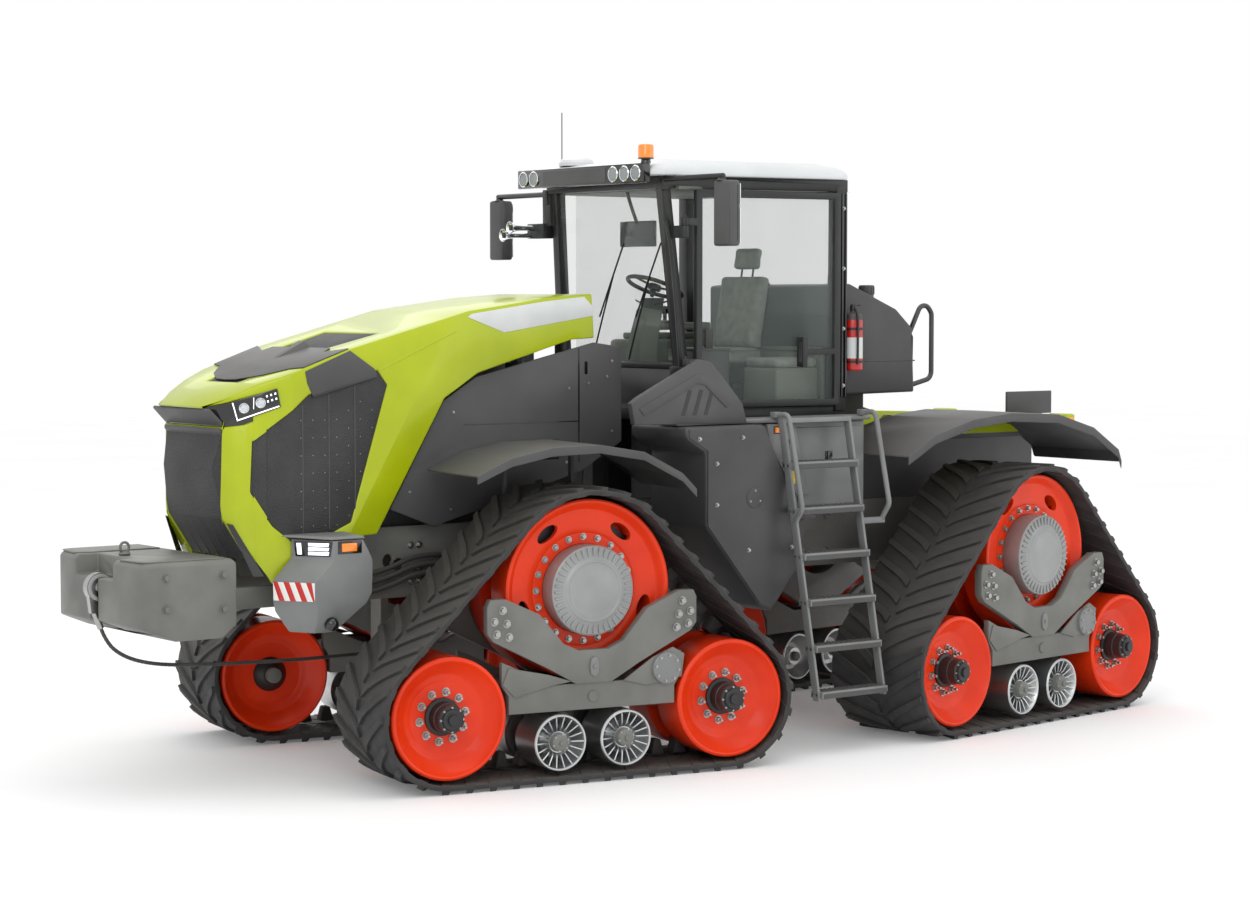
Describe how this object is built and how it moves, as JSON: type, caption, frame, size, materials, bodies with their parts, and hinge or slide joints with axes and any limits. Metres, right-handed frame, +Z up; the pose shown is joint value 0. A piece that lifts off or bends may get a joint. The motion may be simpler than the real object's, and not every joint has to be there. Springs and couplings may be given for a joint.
{
  "type": "four-track tractor",
  "caption": "Articulation-free field tractor on steerable triangular rubber track units, with hood, glazed cab, ladder, front weight and rear deck.",
  "frame": {"origin": "on the ground, under the middle of the whole machine's length and width", "axes": "+X forward, +Y to the left of the driver, +Z up"},
  "size_m": [7.7964, 3.4565, 4.16],
  "materials": {
    "track_rubber": "matt",
    "grey_cast": "satin",
    "wheel_red": "gloss",
    "cast_aluminium": "cast",
    "dark_plastic": "matt",
    "engine_grey": "painted",
    "zinc": "zinc",
    "steel_rope": "stranded",
    "black_steel": "satin",
    "tinted_glass": "clear tint",
    "white_roof": "gloss",
    "gloss_black": "gloss",
    "grey_sheet": "satin",
    "green_paint": "gloss",
    "grille_dark": "matt",
    "lamp_lens": "clear",
    "seat_fabric": "woven"
  },
  "bodies": {
    "chassis": {"chassis_frame": "grey_cast", "axle_housings": "grey_cast", "driveline": "engine_grey", "front_weight": "grey_cast", "tow_eye": "zinc", "tow_rope": "steel_rope", "engine_side_panels": "dark_plastic", "corner_lamp_boxes": "grey_cast", "cab_frame": "black_steel", "cab_glass": "tinted_glass", "cab_roof": "white_roof", "roof_lights": "gloss_black", "fuel_tanks": "dark_plastic", "ladder": "grey_sheet", "platform": "grey_sheet", "rear_tank": "dark_plastic", "rear_body": "dark_plastic"},
    "hood": {"hood_shell": "green_paint", "hood_grilles": "grille_dark", "headlights": "lamp_lens"},
    "door": {"door_frame": "black_steel", "door_glass": "tinted_glass"},
    "mirror_left": {"mirror_left": "dark_plastic"},
    "mirror_right": {"mirror_right": "dark_plastic"},
    "seat": {"seat": "seat_fabric"},
    "steering_wheel": {"steering_wheel": "gloss_black"},
    "knuckle_fl": {"knuckle_fl": "grey_cast", "fender_fl": "dark_plastic"},
    "undercarriage_fl": {"undercarriage_fl": "grey_cast", "belt_fl": "track_rubber"},
    "drive_fl": {"drive_wheel_fl": "wheel_red"},
    "idler_front_fl": {"idler_front_fl": "wheel_red"},
    "idler_rear_fl": {"idler_rear_fl": "wheel_red"},
    "roller_front_fl": {"roller_front_fl": "cast_aluminium"},
    "roller_rear_fl": {"roller_rear_fl": "cast_aluminium"},
    "knuckle_fr": {"knuckle_fr": "grey_cast", "fender_fr": "dark_plastic"},
    "undercarriage_fr": {"undercarriage_fr": "grey_cast", "belt_fr": "track_rubber"},
    "drive_fr": {"drive_wheel_fr": "wheel_red"},
    "idler_front_fr": {"idler_front_fr": "wheel_red"},
    "idler_rear_fr": {"idler_rear_fr": "wheel_red"},
    "roller_front_fr": {"roller_front_fr": "cast_aluminium"},
    "roller_rear_fr": {"roller_rear_fr": "cast_aluminium"},
    "knuckle_rl": {"knuckle_rl": "grey_cast"},
    "undercarriage_rl": {"undercarriage_rl": "grey_cast", "belt_rl": "track_rubber"},
    "drive_rl": {"drive_wheel_rl": "wheel_red"},
    "idler_front_rl": {"idler_front_rl": "wheel_red"},
    "idler_rear_rl": {"idler_rear_rl": "wheel_red"},
    "roller_front_rl": {"roller_front_rl": "cast_aluminium"},
    "roller_rear_rl": {"roller_rear_rl": "cast_aluminium"},
    "knuckle_rr": {"knuckle_rr": "grey_cast"},
    "undercarriage_rr": {"undercarriage_rr": "grey_cast", "belt_rr": "track_rubber"},
    "drive_rr": {"drive_wheel_rr": "wheel_red"},
    "idler_front_rr": {"idler_front_rr": "wheel_red"},
    "idler_rear_rr": {"idler_rear_rr": "wheel_red"},
    "roller_front_rr": {"roller_front_rr": "cast_aluminium"},
    "roller_rear_rr": {"roller_rear_rr": "cast_aluminium"}
  },
  "joints": [
    {"name": "steer_fl", "type": "hinge", "parent": "chassis", "child": "knuckle_fl", "pos_m": [1.20022, 0.8, 1.153], "axis": [0, 0, 1], "range_deg": [-3.1, 22.9]},
    {"name": "pitch_fl", "type": "hinge", "parent": "knuckle_fl", "child": "undercarriage_fl", "pos_m": [1.25524, 1.11523, 1.153], "axis": [0.1719, 0.9851, 0], "range_deg": [-5, 5]},
    {"name": "drive_spin_fl", "type": "hinge", "parent": "knuckle_fl", "child": "drive_fl", "pos_m": [1.25524, 1.11523, 1.153], "axis": [0.1719, 0.9851, 0], "continuous": true},
    {"name": "idler_front_spin_fl", "type": "hinge", "parent": "undercarriage_fl", "child": "idler_front_fl", "pos_m": [2.18124, 0.95362, 0.444], "axis": [0.1719, 0.9851, 0], "continuous": true},
    {"name": "idler_rear_spin_fl", "type": "hinge", "parent": "undercarriage_fl", "child": "idler_rear_fl", "pos_m": [0.32923, 1.27685, 0.444], "axis": [0.1719, 0.9851, 0], "continuous": true},
    {"name": "roller_front_spin_fl", "type": "hinge", "parent": "undercarriage_fl", "child": "roller_front_fl", "pos_m": [1.47097, 1.07758, 0.2515], "axis": [0.1719, 0.9851, 0], "continuous": true},
    {"name": "roller_rear_spin_fl", "type": "hinge", "parent": "undercarriage_fl", "child": "roller_rear_fl", "pos_m": [1.0395, 1.15289, 0.2515], "axis": [0.1719, 0.9851, 0], "continuous": true},
    {"name": "steer_fr", "type": "hinge", "parent": "chassis", "child": "knuckle_fr", "pos_m": [1.20022, -0.8, 1.153], "axis": [0, 0, 1], "range_deg": [-3.1, 22.9]},
    {"name": "pitch_fr", "type": "hinge", "parent": "knuckle_fr", "child": "undercarriage_fr", "pos_m": [1.1452, -1.11523, 1.153], "axis": [0.1719, 0.9851, 0], "range_deg": [-5, 5]},
    {"name": "drive_spin_fr", "type": "hinge", "parent": "knuckle_fr", "child": "drive_fr", "pos_m": [1.1452, -1.11523, 1.153], "axis": [0.1719, 0.9851, 0], "continuous": true},
    {"name": "idler_front_spin_fr", "type": "hinge", "parent": "undercarriage_fr", "child": "idler_front_fr", "pos_m": [2.0712, -1.27685, 0.444], "axis": [0.1719, 0.9851, 0], "continuous": true},
    {"name": "idler_rear_spin_fr", "type": "hinge", "parent": "undercarriage_fr", "child": "idler_rear_fr", "pos_m": [0.2192, -0.95362, 0.444], "axis": [0.1719, 0.9851, 0], "continuous": true},
    {"name": "roller_front_spin_fr", "type": "hinge", "parent": "undercarriage_fr", "child": "roller_front_fr", "pos_m": [1.36094, -1.15289, 0.2515], "axis": [0.1719, 0.9851, 0], "continuous": true},
    {"name": "roller_rear_spin_fr", "type": "hinge", "parent": "undercarriage_fr", "child": "roller_rear_fr", "pos_m": [0.92946, -1.07758, 0.2515], "axis": [0.1719, 0.9851, 0], "continuous": true},
    {"name": "steer_rl", "type": "hinge", "parent": "chassis", "child": "knuckle_rl", "pos_m": [-2.39978, 0.8, 1.153], "axis": [0, 0, 1], "range_deg": [-21.3, 4.7]},
    {"name": "pitch_rl", "type": "hinge", "parent": "knuckle_rl", "child": "undercarriage_rl", "pos_m": [-2.44597, 1.11665, 1.153], "axis": [-0.1444, 0.9895, 0], "range_deg": [-5, 5]},
    {"name": "drive_spin_rl", "type": "hinge", "parent": "knuckle_rl", "child": "drive_rl", "pos_m": [-2.44597, 1.11665, 1.153], "axis": [-0.1444, 0.9895, 0], "continuous": true},
    {"name": "idler_front_spin_rl", "type": "hinge", "parent": "undercarriage_rl", "child": "idler_front_rl", "pos_m": [-1.51582, 1.25234, 0.444], "axis": [-0.1444, 0.9895, 0], "continuous": true},
    {"name": "idler_rear_spin_rl", "type": "hinge", "parent": "undercarriage_rl", "child": "idler_rear_rl", "pos_m": [-3.37613, 0.98095, 0.444], "axis": [-0.1444, 0.9895, 0], "continuous": true},
    {"name": "roller_front_spin_rl", "type": "hinge", "parent": "undercarriage_rl", "child": "roller_front_rl", "pos_m": [-2.22927, 1.14826, 0.2515], "axis": [-0.1444, 0.9895, 0], "continuous": true},
    {"name": "roller_rear_spin_rl", "type": "hinge", "parent": "undercarriage_rl", "child": "roller_rear_rl", "pos_m": [-2.66268, 1.08503, 0.2515], "axis": [-0.1444, 0.9895, 0], "continuous": true},
    {"name": "steer_rr", "type": "hinge", "parent": "chassis", "child": "knuckle_rr", "pos_m": [-2.39978, -0.8, 1.153], "axis": [0, 0, 1], "range_deg": [-21.3, 4.7]},
    {"name": "pitch_rr", "type": "hinge", "parent": "knuckle_rr", "child": "undercarriage_rr", "pos_m": [-2.35359, -1.11665, 1.153], "axis": [-0.1444, 0.9895, 0], "range_deg": [-5, 5]},
    {"name": "drive_spin_rr", "type": "hinge", "parent": "knuckle_rr", "child": "drive_rr", "pos_m": [-2.35359, -1.11665, 1.153], "axis": [-0.1444, 0.9895, 0], "continuous": true},
    {"name": "idler_front_spin_rr", "type": "hinge", "parent": "undercarriage_rr", "child": "idler_front_rr", "pos_m": [-1.42343, -0.98095, 0.444], "axis": [-0.1444, 0.9895, 0], "continuous": true},
    {"name": "idler_rear_spin_rr", "type": "hinge", "parent": "undercarriage_rr", "child": "idler_rear_rr", "pos_m": [-3.28374, -1.25234, 0.444], "axis": [-0.1444, 0.9895, 0], "continuous": true},
    {"name": "roller_front_spin_rr", "type": "hinge", "parent": "undercarriage_rr", "child": "roller_front_rr", "pos_m": [-2.13688, -1.08503, 0.2515], "axis": [-0.1444, 0.9895, 0], "continuous": true},
    {"name": "roller_rear_spin_rr", "type": "hinge", "parent": "undercarriage_rr", "child": "roller_rear_rr", "pos_m": [-2.57029, -1.14826, 0.2515], "axis": [-0.1444, 0.9895, 0], "continuous": true},
    {"name": "hood_hinge", "type": "hinge", "parent": "chassis", "child": "hood", "pos_m": [0.69022, 0, 2.86], "axis": [0, -1, 0], "range_deg": [0, 40]},
    {"name": "door_hinge", "type": "hinge", "parent": "chassis", "child": "door", "pos_m": [0.05022, 0.738, 2.9], "axis": [0, 0, -1], "range_deg": [0, 45]},
    {"name": "mirror_left_fold", "type": "hinge", "parent": "chassis", "child": "mirror_left", "pos_m": [0.14522, 1.23, 3.64], "axis": [0, 0, 1], "range_deg": [-60, 60]},
    {"name": "mirror_right_fold", "type": "hinge", "parent": "chassis", "child": "mirror_right", "pos_m": [0.14522, -1.23, 3.58], "axis": [0, 0, 1], "range_deg": [-60, 60]},
    {"name": "seat_swivel", "type": "hinge", "parent": "chassis", "child": "seat", "pos_m": [-0.79478, 0, 2.4], "axis": [0, 0, 1], "range_deg": [-15, 18]},
    {"name": "steering_wheel_turn", "type": "hinge", "parent": "chassis", "child": "steering_wheel", "pos_m": [-0.27478, 0, 2.978], "axis": [-0.3746, 0, 0.9272], "continuous": true}
  ],
  "couplings": [
    {"joint": "idler_front_spin_fl", "follows": "drive_spin_fl", "ratio": 1.4986},
    {"joint": "idler_rear_spin_fl", "follows": "drive_spin_fl", "ratio": 1.4986},
    {"joint": "roller_front_spin_fl", "follows": "drive_spin_fl", "ratio": 3.171},
    {"joint": "roller_rear_spin_fl", "follows": "drive_spin_fl", "ratio": 3.171},
    {"joint": "idler_front_spin_fr", "follows": "drive_spin_fr", "ratio": 1.4986},
    {"joint": "idler_rear_spin_fr", "follows": "drive_spin_fr", "ratio": 1.4986},
    {"joint": "roller_front_spin_fr", "follows": "drive_spin_fr", "ratio": 3.171},
    {"joint": "roller_rear_spin_fr", "follows": "drive_spin_fr", "ratio": 3.171},
    {"joint": "idler_front_spin_rl", "follows": "drive_spin_rl", "ratio": 1.4986},
    {"joint": "idler_rear_spin_rl", "follows": "drive_spin_rl", "ratio": 1.4986},
    {"joint": "roller_front_spin_rl", "follows": "drive_spin_rl", "ratio": 3.171},
    {"joint": "roller_rear_spin_rl", "follows": "drive_spin_rl", "ratio": 3.171},
    {"joint": "idler_front_spin_rr", "follows": "drive_spin_rr", "ratio": 1.4986},
    {"joint": "idler_rear_spin_rr", "follows": "drive_spin_rr", "ratio": 1.4986},
    {"joint": "roller_front_spin_rr", "follows": "drive_spin_rr", "ratio": 3.171},
    {"joint": "roller_rear_spin_rr", "follows": "drive_spin_rr", "ratio": 3.171},
    {"joint": "steer_fr", "follows": "steer_fl", "ratio": 1},
    {"joint": "steer_rr", "follows": "steer_rl", "ratio": 1}
  ]
}
